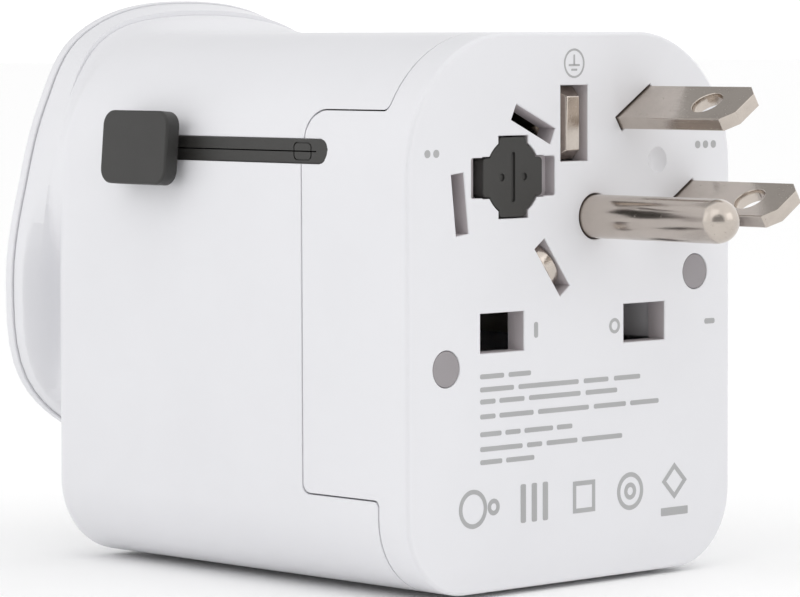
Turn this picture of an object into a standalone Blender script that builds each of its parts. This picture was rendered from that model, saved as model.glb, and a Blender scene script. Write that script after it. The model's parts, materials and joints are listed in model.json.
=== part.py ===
"""Universal travel adapter with three sliding plug groups and a round socket end.

The plug face looks along -Y and the socket end along +Y. X is the width and Z the height, with Z = 0 under
the body. Lengths below are millimetres; place() turns them into metres in the adapter's own frame, whose
origin is the middle of the flat underside. "depth" is the distance behind the plug face.
"""

import math

import bmesh
import bpy
from mathutils import Matrix, Vector

MM = 0.001
GAP = 0.3

# Casing
WIDTH, HEIGHT, DEPTH = 50.4, 60.0, 66.0
MIDDLE = 30.0  # depth of the origin
WALL, FACE_WALL = 1.8, 2.5
TOP_RADIUS, FOOT_RADIUS, FACE_EDGE = 15.0, 8.5, 0.45
SKIRT, TONGUE = 4.4, 16.4  # how far the plug housing wraps round the corners and down the sides
TONGUE_LOW, TONGUE_HIGH = 10.5, 51.7
SHELL_END, FLANGE_LIP = 64.3, 0.4
FLANGE_Z = 33.0  # height that the flange's radii are measured from
FLANGE_RADII = (
    (-90, 24.6), (-55, 25.6), (-28, 28.4), (-5, 27.2), (20, 26.8), (40, 28.9), (57, 31.5), (90, 30.8),
)  # fmt: skip
NECK_TOP, NECK_FADE = 42, 27  # angle above which there is no neck, and the angle over which it fades in
FLARED = 10.0  # a sink this far outward leaves only the flange

# Slides
TRAVEL = 23.5
OUT_DEPTH, PLATE = 2.8, 6.4  # front of a carriage plate when it is pushed out, and its thickness
IN_DEPTH = OUT_DEPTH + TRAVEL
KNOB_BEHIND = 14.7  # from a carriage's front to the middle of its knob
KNOB_SIZE = (11.2, 8.5, 1.9)
KNOB_PRESS, KNOB_TILT = 1.0, 5.0  # the two upper knobs lean back with the rounded corner, in degrees
UPPER_KNOB_Z, LOWER_KNOB_Z = 47.3, 22.0
ARM_X = 21.2  # outer side of the arms that run back to the knobs
TRACK_START, TRACK_END, TRACK_HEIGHT = 12.5, 44.5, 2.7
LAND_X, LAND_HALF, SLIT_HALF, STEM_HALF = 24.8, 1.05, 0.6, 0.4  # the liner's land, its slit and the stem

# Plug groups, as (x, z, turn in degrees) on the plug face
AU_PINS = {"live": (-17.4, 41.8, -83.6), "neutral": (-6.3, 50.1, -24.7), "earth": (-3.42, 34.54, -53.5)}
US_PINS = {"live": (16.70, 41.03, 33.0), "neutral": (9.78, 51.68, 33.0)}
US_EARTH = (3.26, 39.87)
UK_PINS = {"live": (-11.1, 27.9), "neutral": (11.1, 27.9), "earth": (0.0, 50.1)}
AU_BLADE, US_BLADE = (6.3, 1.6), (6.35, 1.55)
AU_LENGTH = {"live": 18.0, "neutral": 18.0, "earth": 23.3}
US_LENGTH, US_EARTH_LENGTH, US_EARTH_RADIUS = 16.3, 20.3, 2.4
BLADE_HOLE_RADIUS, BLADE_HOLE_BACK = 1.8, 5.4  # and how far the hole lies behind the tip
UK_LENGTH, UK_EARTH_LENGTH = 17.7, 23.3
UK_FLAT, UK_EARTH = (6.35, 4.0), (4.0, 8.0)
SLOT_PLAY = 0.13

FUSE = (-9.36, 44.5)
FUSE_LOBES, FUSE_LOBE_HALF, FUSE_CAP_RADIUS = (4.5, 4.3), 2.1, 4.1  # reach across and up, half width, disc
SCREWS = {"upper": (19.39, 33.15), "lower": (-19.47, 24.4)}

# Socket end
DISH = (0.0, 41.5)
DISH_RADIUS, DISH_DEPTH = 18.0, 2.0
SOCKET_X, SOCKET_Z, SOCKET_EARTH_Z, ROUND_EARTH_Z = 9.9, 33.0, 55.2, 44.6
USB_X, USB_Z, USB_SIZE = 7.75, 18.7, (13.1, 5.4)

COLOURS = {
    "white_plastic": ((0.84, 0.84, 0.86), 0.38, 0.0),
    "dark_plastic": ((0.075, 0.073, 0.070), 0.55, 0.0),
    "black_plastic": ((0.03, 0.03, 0.03), 0.5, 0.0),
    "grey_plastic": ((0.55, 0.54, 0.55), 0.5, 0.0),
    "plated_metal": ((0.62, 0.58, 0.54), 0.25, 1.0),
    "brass": ((0.72, 0.55, 0.28), 0.3, 1.0),
    "steel": ((0.6, 0.6, 0.62), 0.35, 1.0),
    "green_board": ((0.03, 0.22, 0.10), 0.45, 0.0),
    "tape_yellow": ((0.75, 0.55, 0.08), 0.5, 0.0),
    "ceramic": ((0.80, 0.76, 0.68), 0.6, 0.0),
    "clear_lens": ((0.75, 0.85, 0.95), 0.15, 0.0),
}


def place(x, depth, z):
    return Vector((x * MM, (depth - MIDDLE) * MM, z * MM))


def clear_scene():
    for item in list(bpy.data.objects):
        bpy.data.objects.remove(item, do_unlink=True)


def material(name):
    found = bpy.data.materials.get(name)
    if found:
        return found
    colour, roughness, metallic = COLOURS[name]
    made = bpy.data.materials.new(name)
    made.use_nodes = True
    shader = made.node_tree.nodes["Principled BSDF"]
    shader.inputs["Base Color"].default_value = (*colour, 1.0)
    shader.inputs["Roughness"].default_value = roughness
    shader.inputs["Metallic"].default_value = metallic
    return made


def add_object(name, bm, slot, smooth=False):
    bmesh.ops.recalc_face_normals(bm, faces=bm.faces)
    mesh = bpy.data.meshes.new(name)
    bm.to_mesh(mesh)
    bm.free()
    if slot:
        mesh.materials.append(material(slot))
    if smooth:
        mesh.shade_smooth()
        mesh.set_sharp_from_angle(angle=math.radians(35))
    made = bpy.data.objects.new(name, mesh)
    bpy.context.collection.objects.link(made)
    return made


def as_cutter(item):
    item.hide_render = True
    item.display_type = "WIRE"
    return item


def boolean(target, operation, *others):
    for other in others:
        change = target.modifiers.new(other.name, "BOOLEAN")
        change.operation = operation
        change.solver = "EXACT"
        change.object = as_cutter(other)
    return target


def cut(target, *others):
    return boolean(target, "DIFFERENCE", *others)


def join(target, *others):
    return boolean(target, "UNION", *others)


# Outlines in the face plane, as lists of (x, z)


def turned(points, centre, degrees):
    c, s = math.cos(math.radians(degrees)), math.sin(math.radians(degrees))
    return [(centre[0] + x * c - z * s, centre[1] + x * s + z * c) for x, z in points]


def rectangle(width, height, centre=(0.0, 0.0), degrees=0.0):
    w, h = width / 2, height / 2
    return turned([(-w, -h), (w, -h), (w, h), (-w, h)], centre, degrees)


def arc(centre, radius, start, end, steps):
    angles = [math.radians(start + (end - start) * i / steps) for i in range(steps + 1)]
    return [(centre[0] + radius * math.cos(a), centre[1] + radius * math.sin(a)) for a in angles]


def circle(centre, radius, sides=20):
    return arc(centre, radius, 0, 360 * (sides - 1) / sides, sides - 1)


def soft_rectangle(width, height, radius, centre=(0.0, 0.0), steps=2):
    w, h = width / 2 - radius, height / 2 - radius
    corners = ((w, h, 0), (-w, h, 90), (-w, -h, 180), (w, -h, 270))
    points = []
    for x, z, start in corners:
        points += arc((centre[0] + x, centre[1] + z), radius, start, start + 90, steps)
    return points


def body_section(inset=0.0, arc_steps=6, flat_steps=3):
    """The body's rounded outline, starting at the right of the top corner, with points along its flats."""
    half, top = WIDTH / 2 - inset, HEIGHT - inset
    r_top, r_foot = TOP_RADIUS - inset, FOOT_RADIUS - inset
    corners = (
        ((half - r_top, top - r_top), r_top, 0),
        ((-half + r_top, top - r_top), r_top, 90),
        ((-half + r_foot, inset + r_foot), r_foot, 180),
        ((half - r_foot, inset + r_foot), r_foot, 270),
    )
    points = []
    for centre, radius, start in corners:
        points += arc(centre, radius, start, start + 90, arc_steps)
    full = []
    for i, point in enumerate(points):
        full.append(point)
        if i % (arc_steps + 1) == arc_steps:
            after = points[(i + 1) % len(points)]
            for k in range(1, flat_steps):
                t = k / flat_steps
                full.append((point[0] + (after[0] - point[0]) * t, point[1] + (after[1] - point[1]) * t))
    return full


def flange_radius(degrees):
    """Radius of the flange at an angle above the horizontal, by a smooth curve through its stated radii."""
    for (a0, r0), (a1, r1) in zip(FLANGE_RADII, FLANGE_RADII[1:]):
        if a0 <= degrees <= a1:
            break
    index = FLANGE_RADII.index((a0, r0))
    before = FLANGE_RADII[index - 1] if index else (2 * a0 - a1, r1)
    last = index + 2 == len(FLANGE_RADII)
    after = (2 * a1 - a0, r0) if last else FLANGE_RADII[index + 2]
    slope0 = (r1 - before[1]) / (a1 - before[0])
    slope1 = (after[1] - r0) / (after[0] - a0)
    t, span = (degrees - a0) / (a1 - a0), a1 - a0
    return (
        (2 * t**3 - 3 * t**2 + 1) * r0
        + (t**3 - 2 * t**2 + t) * span * slope0
        + (3 * t**2 - 2 * t**3) * r1
        + (t**3 - t**2) * span * slope1
    )


def flange_section(inset=0.0):
    return [scaled for _, scaled in flange_pairs(inset)]


def flange_pairs(inset=0.0):
    """Each point of the body's outline with the point of the flange's outline in the same direction."""
    pairs = []
    for x, z in body_section():
        height = z - FLANGE_Z
        radius = flange_radius(math.degrees(math.atan2(height, abs(x)))) - inset
        reach = math.hypot(x, height)
        pairs.append(((x, z), (x * radius / reach, FLANGE_Z + height * radius / reach)))
    return pairs


def flare_section(lift, sink, lip_sink, inset=0.0):
    """Between body and flange: a ramp over the top, by lift, and a neck sunk at the sides and below."""
    points = []
    for (x, z), (flange_x, flange_z) in flange_pairs(FLANGE_LIP):
        body = math.hypot(x, z - FLANGE_Z)
        flange = math.hypot(flange_x, flange_z - FLANGE_Z)
        angle = math.degrees(math.atan2(z - FLANGE_Z, abs(x)))
        t = min(max((NECK_TOP - angle) / NECK_FADE, 0.0), 1.0)
        side = t * t * (3 - 2 * t)
        ramp = body + (flange - body) * lift
        neck = min(body - sink, flange - lip_sink)
        radius = ramp * (1 - side) + neck * side - inset
        points.append((x * radius / body, FLANGE_Z + (z - FLANGE_Z) * radius / body))
    return points


# Solids


def loft(name, sections, slot=None, smooth=True):
    """A closed solid through outlines of equal length, given as (depth, outline)."""
    bm = bmesh.new()
    rings = [[bm.verts.new(place(x, depth, z)) for x, z in outline] for depth, outline in sections]
    for lower, upper in zip(rings, rings[1:]):
        for i in range(len(lower)):
            k = (i + 1) % len(lower)
            bm.faces.new((lower[i], lower[k], upper[k], upper[i]))
    bm.faces.new(rings[0])
    bm.faces.new(rings[-1])
    return add_object(name, bm, slot, smooth)


def prism(name, outline, start, end, slot=None, smooth=False):
    return loft(name, ((start, outline), (end, outline)), slot, smooth)


def block(name, xs, depths, zs, slot=None):
    outline = [(xs[0], zs[0]), (xs[1], zs[0]), (xs[1], zs[1]), (xs[0], zs[1])]
    return prism(name, outline, *depths, slot)


def tapered(name, outline, centre, depths, tip, slot):
    """A pin or blade along the depth axis whose last stretch narrows towards its tip."""
    tip_length, scale = tip
    x0, z0 = centre
    inner = [(x0 + (x - x0) * scale, z0 + (z - z0) * scale) for x, z in outline]
    start, end = depths
    step = math.copysign(tip_length, end - start)
    return loft(name, ((start, outline), (end - step, outline), (end, inner)), slot, False)


def rod(name, centre, radius, depths, slot=None, sides=16):
    return prism(name, circle(centre, radius, sides), *depths, slot, True)


def side_rod(name, xs, depth, z, radius, slot=None, sides=14):
    """A round bar along X."""
    bm = bmesh.new()
    rings = []
    for x in xs:
        rings.append([bm.verts.new(place(x, depth + a, z + b)) for a, b in circle((0, 0), radius, sides)])
    for i in range(sides):
        k = (i + 1) % sides
        bm.faces.new((rings[0][i], rings[0][k], rings[1][k], rings[1][i]))
    bm.faces.new(rings[0])
    bm.faces.new(rings[1])
    return add_object(name, bm, slot, True)


def coil(name, start, axis, length, radius, turns, wire, slot="steel"):
    """A coil spring from start along a unit axis, its wire a closed tube with flat ends."""
    steps, sides = int(turns * 10), 5
    axis = Vector(axis)
    side = axis.orthogonal().normalized()
    up = axis.cross(side)
    bm = bmesh.new()
    rings = []
    for i in range(steps + 1):
        angle = 2 * math.pi * turns * i / steps
        out = side * math.cos(angle) + up * math.sin(angle)
        centre = start + axis * (wire + (length - 2 * wire) * i / steps) * MM + out * radius * MM
        rings.append(
            [
                bm.verts.new(centre + (out * math.cos(b) + axis * math.sin(b)) * wire * MM)
                for b in (2 * math.pi * k / sides for k in range(sides))
            ]
        )
    for lower, upper in zip(rings, rings[1:]):
        for i in range(sides):
            k = (i + 1) % sides
            bm.faces.new((lower[i], lower[k], upper[k], upper[i]))
    bm.faces.new(rings[0])
    bm.faces.new(rings[-1])
    return add_object(name, bm, slot, True)


# Casing


def casing_shell(name):
    """The whole casing as one open-ended shell, before the seam divides it."""
    outer = loft(
        name,
        (
            (0.0, body_section(FACE_EDGE)),
            (FACE_EDGE, body_section()),
            (57.4, body_section()),
            (58.8, flare_section(0.30, 0.45, 0.0)),
            (59.8, flare_section(0.52, 1.5, 0.0)),
            (61.2, flare_section(0.8, 2.6, 0.4)),
            (63.0, flare_section(0.97, -FLARED, 0.5)),
            (SHELL_END, flare_section(1.0, -FLARED, 0.0)),
        ),
        "white_plastic",
    )
    hollow = loft(
        name + "_hollow",
        (
            (FACE_WALL, body_section(WALL)),
            (57.0, body_section(WALL)),
            (59.5, flare_section(0.52, 1.5, 0.0, WALL)),
            (61.0, flare_section(0.8, 2.6, 0.4, WALL)),
            (63.0, flare_section(0.97, -FLARED, 0.5, WALL)),
            (SHELL_END + 1, flare_section(1.0, -FLARED, 0.0, WALL)),
        ),
    )
    return cut(outer, hollow)


def front_region(name, shrink=0.0):
    """What the plug housing takes of the casing: a skirt round the edge and a tongue down each side."""
    wide = WIDTH
    region = block(name, (-wide, wide), (-5, SKIRT + shrink), (-5, HEIGHT + 5))
    side = [
        (TONGUE_LOW - shrink, -1.0),
        (TONGUE_HIGH + shrink, -1.0),
        (TONGUE_HIGH + shrink, TONGUE - 1.5 + shrink),
        (TONGUE_HIGH - 1.5 + shrink, TONGUE + shrink),
        (TONGUE_LOW + 0.8 - shrink, TONGUE + shrink),
        (TONGUE_LOW - shrink, TONGUE - 0.8 + shrink),
    ]
    bm = bmesh.new()
    rings = [[bm.verts.new(place(x, depth, z)) for z, depth in side] for x in (-wide + 1, wide - 1)]
    for i in range(len(side)):
        k = (i + 1) % len(side)
        bm.faces.new((rings[0][i], rings[0][k], rings[1][k], rings[1][i]))
    bm.faces.new(rings[0])
    bm.faces.new(rings[1])
    return join(region, add_object(name + "_sides", bm, None))


def track_cutters(name):
    """The three side slots that the knobs' stems run in."""
    cutters = []
    for label, side, z in (("au", -1, UPPER_KNOB_Z), ("us", 1, UPPER_KNOB_Z), ("uk", 1, LOWER_KNOB_Z)):
        xs = sorted((side * (WIDTH / 2 - WALL - 1), side * (WIDTH / 2 + 1)))
        half = TRACK_HEIGHT / 2
        cutters.append(block(f"{name}_{label}", xs, (TRACK_START, TRACK_END), (z - half, z + half)))
    return cutters


def face_cutters():
    """Every opening through the plug face."""
    through = (-1.0, FACE_WALL + 1.0)
    cutters = []
    for label, (x, z, degrees) in AU_PINS.items():
        width, thick = AU_BLADE
        shape = rectangle(width + 2 * SLOT_PLAY, thick + 2 * SLOT_PLAY, (x, z), degrees)
        cutters.append(prism(f"slot_au_{label}", shape, *through))
    for label, (x, z, degrees) in US_PINS.items():
        width, thick = US_BLADE
        shape = rectangle(width + 2 * SLOT_PLAY, thick + 2 * SLOT_PLAY, (x, z), degrees)
        cutters.append(prism(f"slot_us_{label}", shape, *through))
    cutters.append(rod("slot_us_earth", US_EARTH, US_EARTH_RADIUS + SLOT_PLAY, through))
    for label, (x, z) in UK_PINS.items():
        width, height = UK_EARTH if label == "earth" else UK_FLAT
        shape = rectangle(width + 2 * SLOT_PLAY, height + 2 * SLOT_PLAY, (x, z))
        cutters.append(prism(f"slot_uk_{label}", shape, *through))
    cutters.append(prism("fuse_recess", rectangle(12.7, 4.3, FUSE), -1.0, 1.5))
    cutters.append(prism("fuse_hole", fuse_outline(GAP), *through))
    for label, centre in SCREWS.items():
        cutters.append(rod(f"screw_hole_{label}", centre, 1.9 + SLOT_PLAY, (-1.0, 18.5)))
        cutters.append(rod(f"shank_hole_{label}", centre, 1.25, (17.0, 24.0), sides=12))
    return cutters


def fuse_outline(grow=0.0):
    """The fuse cap's outline: a disc with four square lobes."""
    half, radius = FUSE_LOBE_HALF + grow, FUSE_CAP_RADIUS + grow
    turn = math.degrees(math.asin(half / radius))
    points = []
    for quarter in range(4):
        reach = FUSE_LOBES[quarter % 2] + grow
        lobe = turned([(reach, -half), (reach, half)], FUSE, 90 * quarter)
        points += lobe + arc(FUSE, radius, 90 * quarter + turn, 90 * (quarter + 1) - turn, 3)
    return points


def plug_housing():
    shell = casing_shell("plug_housing")
    boolean(shell, "INTERSECT", front_region("plug_region"))
    for label, centre in SCREWS.items():
        join(shell, rod(f"screw_tube_{label}", centre, 2.9, (1.0, 22.0)))
    join(shell, block("pin_guide", (14.7, 15.7), (FACE_WALL - 0.1, 9.0), (25.9, 30.2)))
    cut(shell, *face_cutters(), *track_cutters("front_track"))
    return cut(shell, rod("dimple", (13.2, 45.8), 1.4, (-1.0, 0.8), sides=14))


def rear_housing():
    shell = cut(casing_shell("rear_housing"), front_region("rear_cut", GAP))
    for label, (x, z) in SCREWS.items():
        post = rod(f"screw_post_{label}", (x, z), 2.4, (22.6, 32.6))
        edge = math.copysign(WIDTH / 2 - WALL / 2, x)
        rib = block(f"post_rib_{label}", sorted((x, edge)), (22.9, 32.3), (z - 0.9, z + 0.9))
        join(shell, post, rib)
        cut(shell, rod(f"post_bore_{label}", (x, z), 0.95 + GAP, (20.0, 34.0), sides=12))
    return cut(shell, *track_cutters("rear_track"))


def usb_opening(name, x):
    return prism(name, rectangle(USB_SIZE[0] + 2 * GAP, USB_SIZE[1] + 2 * GAP, (x, USB_Z)), 60.0, DEPTH + 1)


def socket_cutters():
    """The dish and the openings of the socket end."""
    behind, out = 60.0, DEPTH + 1.0
    cutters = [prism("dish", circle(DISH, DISH_RADIUS, 40), DEPTH - DISH_DEPTH, out)]
    for side in (-1, 1):
        wide = rectangle(9.0, 4.4, (side * SOCKET_X, SOCKET_Z))
        cutters.append(prism(f"pin_hole_{side}", wide, behind, out))
        tall = rectangle(1.9, 7.4, (side * 6.35, SOCKET_Z))
        cutters.append(prism(f"blade_hole_{side}", tall, behind, out))
        cutters.append(usb_opening(f"usb_hole_{side}", side * USB_X))
    cutters.append(prism("earth_hole", rectangle(4.4, 8.0, (0, SOCKET_EARTH_Z)), behind, out))
    cutters.append(rod("round_earth_hole", (0, ROUND_EARTH_Z), 2.7, (behind, out)))
    cutters.append(rod("lamp_hole", (0, USB_Z), 0.9 + GAP, (behind, out), sides=12))
    return cutters


def socket_cover():
    front = SHELL_END + GAP
    cover = loft(
        "socket_cover",
        (
            (front, flange_section(0.2)),
            (front + 0.2, flange_section()),
            (DEPTH - 0.6, flange_section()),
            (DEPTH, flange_section(0.6)),
        ),
        "white_plastic",
    )
    join(cover, prism("dish_cup", circle(DISH, DISH_RADIUS + 0.8, 40), 61.2, DEPTH - 0.5))
    return cut(cover, *socket_cutters())


def screw_set(label):
    x, z = SCREWS[label]
    rod(f"screw_plug_{label}", (x, z), 1.85, (0.1, 2.4), "grey_plastic")
    head = rod(f"case_screw_{label}", (x, z), 1.7, (16.4, 18.2), "steel")
    join(head, rod(f"shank_{label}", (x, z), 0.95, (17.5, 31.0), sides=10))
    return cut(head, block(f"drive_{label}", (x - 1.2, x + 1.2), (15.0, 17.2), (z - 0.25, z + 0.25)))


# Carriages and their pins


def carriage(name, outline, front, side, knob_z):
    """A plate that carries one plug group, with an arm back along the wall to the boss behind its knob."""
    plate = prism(name, outline, front, front + PLATE, "white_plastic")
    middle = front + KNOB_BEHIND
    arm_xs = sorted((side * ARM_X, side * (ARM_X - 1.8)))
    arm = block(name + "_arm", arm_xs, (front + 0.4, middle - 2), (knob_z - 2.4, knob_z + 2.4))
    boss_xs = sorted((side * (ARM_X - 0.1), side * (ARM_X - 4.5)))
    boss = block(name + "_boss", boss_xs, (middle - 3, middle + 3), (knob_z - 2.3, knob_z + 2.3))
    join(plate, arm, boss)
    bore = side_rod(name + "_bore", sorted((side * (ARM_X - 3.5), side * 23)), middle, knob_z, 1.25)
    return cut(plate, bore)


def knob(name, front, side, knob_z):
    """A press knob: its cap outside the wall, and a stem through the track into the carriage's boss."""
    middle = front + KNOB_BEHIND
    length, height, thick = KNOB_SIZE
    inner = side * (WIDTH / 2 + KNOB_PRESS + 0.1)
    outer = inner + side * thick
    lean = math.tan(math.radians(KNOB_TILT)) if knob_z > HEIGHT - TOP_RADIUS else 0.0
    bm = bmesh.new()
    rings = []
    for x, shrink in ((inner, 0.0), (outer - side * 0.5, 0.0), (outer, 0.45)):
        shape = soft_rectangle(length - 2 * shrink, height - 2 * shrink, 1.6 - shrink)
        rings.append([bm.verts.new(place(x - side * lean * b, middle + a, knob_z + b)) for a, b in shape])
    for lower, upper in zip(rings, rings[1:]):
        for i in range(len(lower)):
            k = (i + 1) % len(lower)
            bm.faces.new((lower[i], lower[k], upper[k], upper[i]))
    bm.faces.new(rings[0])
    bm.faces.new(rings[-1])
    add_object(name, bm, "dark_plastic")
    stem_xs = sorted((inner - side * GAP, side * (ARM_X + 1.4)))
    stem_zs = (knob_z - STEM_HALF, knob_z + STEM_HALF)
    stem = block(name + "_stem", stem_xs, (middle - 2.4, middle + 2.4), stem_zs, "dark_plastic")
    tail_xs = sorted((side * (ARM_X + 2.2), side * (ARM_X - 1.1)))
    return join(stem, side_rod(name + "_tail", tail_xs, middle, knob_z, 0.45, sides=10))


def knob_spring(name, front, side, knob_z):
    start = place(side * (ARM_X - 3.35), front + KNOB_BEHIND, knob_z)
    return coil(name, start, (side, 0, 0), 2.1, 0.75, 2.5, 0.14)


def track_liner(name, side, knob_z):
    """The dark strip in a side slot: a plate behind the wall, a land in the slot, and a slit for the stem."""
    xs = sorted((side * (ARM_X + 1.2), side * (ARM_X + 0.3)))
    strip = block(name, xs, (9.5, 47.5), (knob_z - 2.1, knob_z + 2.1), "black_plastic")
    land_xs = sorted((side * (ARM_X + 1.0), side * LAND_X))
    land_zs = (knob_z - LAND_HALF, knob_z + LAND_HALF)
    join(strip, block(name + "_land", land_xs, (TRACK_START + GAP, TRACK_END - GAP), land_zs))
    slit_xs = sorted((side * (ARM_X - 0.5), side * (LAND_X + 1)))
    slit_zs = (knob_z - SLIT_HALF, knob_z + SLIT_HALF)
    return cut(strip, block(name + "_slit", slit_xs, (14.4, TRACK_END - 0.5), slit_zs))


def au_group():
    # A C-shaped plate: it passes round the fuse tube, which stands in its mouth.
    around_fuse = arc(FUSE, 4.9, 55, 308, 12)
    outline = [
        (-2.8, 47.6), (-2.8, 49.9), (-8.6, 52.7), (-10.8, 51.9), (-16.5, 49.7), (-ARM_X, 49.7),
        (-ARM_X, 44.9), (-19.2, 44.2), (-19.0, 38.0), (-17.5, 36.4), (-7.0, 31.2), (-2.2, 31.1),
        (-0.55, 32.3), (-4.5, 38.2),
    ]  # fmt: skip
    carriage("au_carriage", outline + around_fuse[::-1], IN_DEPTH, -1, UPPER_KNOB_Z)
    for label, (x, z, degrees) in AU_PINS.items():
        root = IN_DEPTH - GAP
        end = root - AU_LENGTH[label] - OUT_DEPTH + GAP
        shape = rectangle(*AU_BLADE, (x, z), degrees)
        tapered(f"au_{label}_blade", shape, (x, z), (root, end), (1.2, 0.72), "plated_metal")
    knob("au_knob", IN_DEPTH, -1, UPPER_KNOB_Z)
    knob_spring("au_knob_spring", IN_DEPTH, -1, UPPER_KNOB_Z)
    track_liner("au_track_liner", -1, UPPER_KNOB_Z)


def us_blade(label, x, z, degrees):
    root = OUT_DEPTH - GAP
    shape = rectangle(*US_BLADE, (x, z), degrees)
    blade = tapered(f"us_{label}_blade", shape, (x, z), (root, -US_LENGTH), (1.6, 0.62), "plated_metal")
    hole = rod(f"us_{label}_hole", (0, 0), BLADE_HOLE_RADIUS, (MIDDLE - 5, MIDDLE + 5), sides=14)
    upright = Matrix.Rotation(math.pi / 2, 4, "X")
    across = Matrix.Rotation(-math.radians(degrees), 4, "Y")
    hole.data.transform(Matrix.Translation(place(x, BLADE_HOLE_BACK - US_LENGTH, z)) @ across @ upright)
    return cut(blade, hole)


def us_group():
    outline = [
        (0.62, 40.6), (1.4, 38.0), (3.3, 37.1), (14.6, 38.2), (20.3, 41.9), (ARM_X, 44.9), (ARM_X, 49.7),
        (15.6, 49.9), (12.2, 54.6), (6.2, 50.9), (3.3, 46.3), (0.9, 42.2),
    ]  # fmt: skip
    carriage("us_carriage", outline, OUT_DEPTH, 1, UPPER_KNOB_Z)
    for label, (x, z, degrees) in US_PINS.items():
        us_blade(label, x, z, degrees)
    tip = -US_EARTH_LENGTH
    profile = [(OUT_DEPTH - GAP, US_EARTH_RADIUS)]
    for i in range(6):
        angle = math.radians(86 * i / 5)
        profile.append((tip + US_EARTH_RADIUS * (1 - math.sin(angle)), US_EARTH_RADIUS * math.cos(angle)))
    loft("us_earth_pin", [(depth, circle(US_EARTH, radius, 18)) for depth, radius in profile], "plated_metal")
    knob("us_knob", OUT_DEPTH, 1, UPPER_KNOB_Z)
    knob_spring("us_knob_spring", OUT_DEPTH, 1, UPPER_KNOB_Z)
    track_liner("us_track_liner", 1, UPPER_KNOB_Z)


def uk_group():
    # A block behind the earth pin, a slanted spine between the other groups, and a bar under the flat pins.
    outline = [
        (-2.35, 54.4), (-2.35, 46.0), (-3.6, 44.0), (-3.6, 38.4), (0.2, 33.0), (0.2, 30.8), (-15.0, 30.8),
        (-15.0, 23.2), (15.0, 23.2), (15.6, 19.7), (ARM_X, 19.7), (ARM_X, 24.3), (16.2, 25.4), (14.3, 25.4),
        (14.3, 30.8), (3.2, 30.8), (3.2, 35.7), (0.15, 38.3), (0.15, 43.4), (2.5, 46.0), (2.5, 54.4),
    ]  # fmt: skip
    carriage("uk_carriage", outline, IN_DEPTH, 1, LOWER_KNOB_Z)
    root = IN_DEPTH - GAP
    for label, (x, z) in UK_PINS.items():
        earth = label == "earth"
        size = UK_EARTH if earth else UK_FLAT
        end = IN_DEPTH - OUT_DEPTH - (UK_EARTH_LENGTH if earth else UK_LENGTH)
        shape = rectangle(*size, (x, z))
        tapered(f"uk_{label}_pin", shape, (x, z), (root, end), (2.0, 0.7), "plated_metal")
    knob("uk_knob", IN_DEPTH, 1, LOWER_KNOB_Z)
    knob_spring("uk_knob_spring", IN_DEPTH, 1, LOWER_KNOB_Z)
    track_liner("uk_track_liner", 1, LOWER_KNOB_Z)


# Fuse, frame and socket works


def fuse_set():
    cap = prism("fuse_cap", fuse_outline(), 0.1, 1.9, "black_plastic")
    join(cap, rod("fuse_cap_stem", FUSE, 3.5, (1.5, 5.0)))
    slot_zs = (FUSE[1] - 0.45, FUSE[1] + 0.45)
    cut(cap, block("fuse_cap_slot", (FUSE[0] - 2.6, FUSE[0] + 2.6), (-1.0, 0.7), slot_zs))
    rod("fuse_front_ferrule", FUSE, 3.15, (5.3, 10.8), "plated_metal")
    rod("fuse_barrel", FUSE, 3.0, (11.1, 24.2), "ceramic")
    rod("fuse_rear_ferrule", FUSE, 3.15, (24.5, 30.0), "plated_metal")
    coil("fuse_spring", place(FUSE[0], 30.4, FUSE[1]), (0, 1, 0), 2.4, 2.2, 2.0, 0.25)


def inner_frame():
    """The partition behind the retracted plates, with the fuse tube standing on it."""
    start, end = 33.1, 35.1
    frame = prism("inner_frame", body_section(WALL + GAP), start, end, "white_plastic", False)
    notches = []
    for label, side, z in (("au", -1, UPPER_KNOB_Z), ("us", 1, UPPER_KNOB_Z), ("uk", 1, LOWER_KNOB_Z)):
        xs = sorted((side * 16.2, side * 30))
        notches.append(block(f"notch_{label}", xs, (30.0, 38.0), (z - 3.4, z + 3.4)))
    tube = rod("fuse_tube", FUSE, 4.5, (2.9, 34.0), sides=20)
    join(frame, tube)
    return cut(frame, rod("fuse_bore", FUSE, 3.75, (0.0, 33.2), sides=20), *notches)


def contact(name, xs, zs, slot_xs=None, slot_zs=None):
    """A sprung clip: a block folded round the slot that a pin slides into."""
    clip = block(name, xs, (47.0, 57.0), zs, "brass")
    slot_xs = slot_xs or (xs[0] - 1, xs[1] + 1)
    slot_zs = slot_zs or (zs[0] - 1, zs[1] + 1)
    return cut(clip, block(name + "_slot", slot_xs, (48.2, 58.0), slot_zs))


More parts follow.
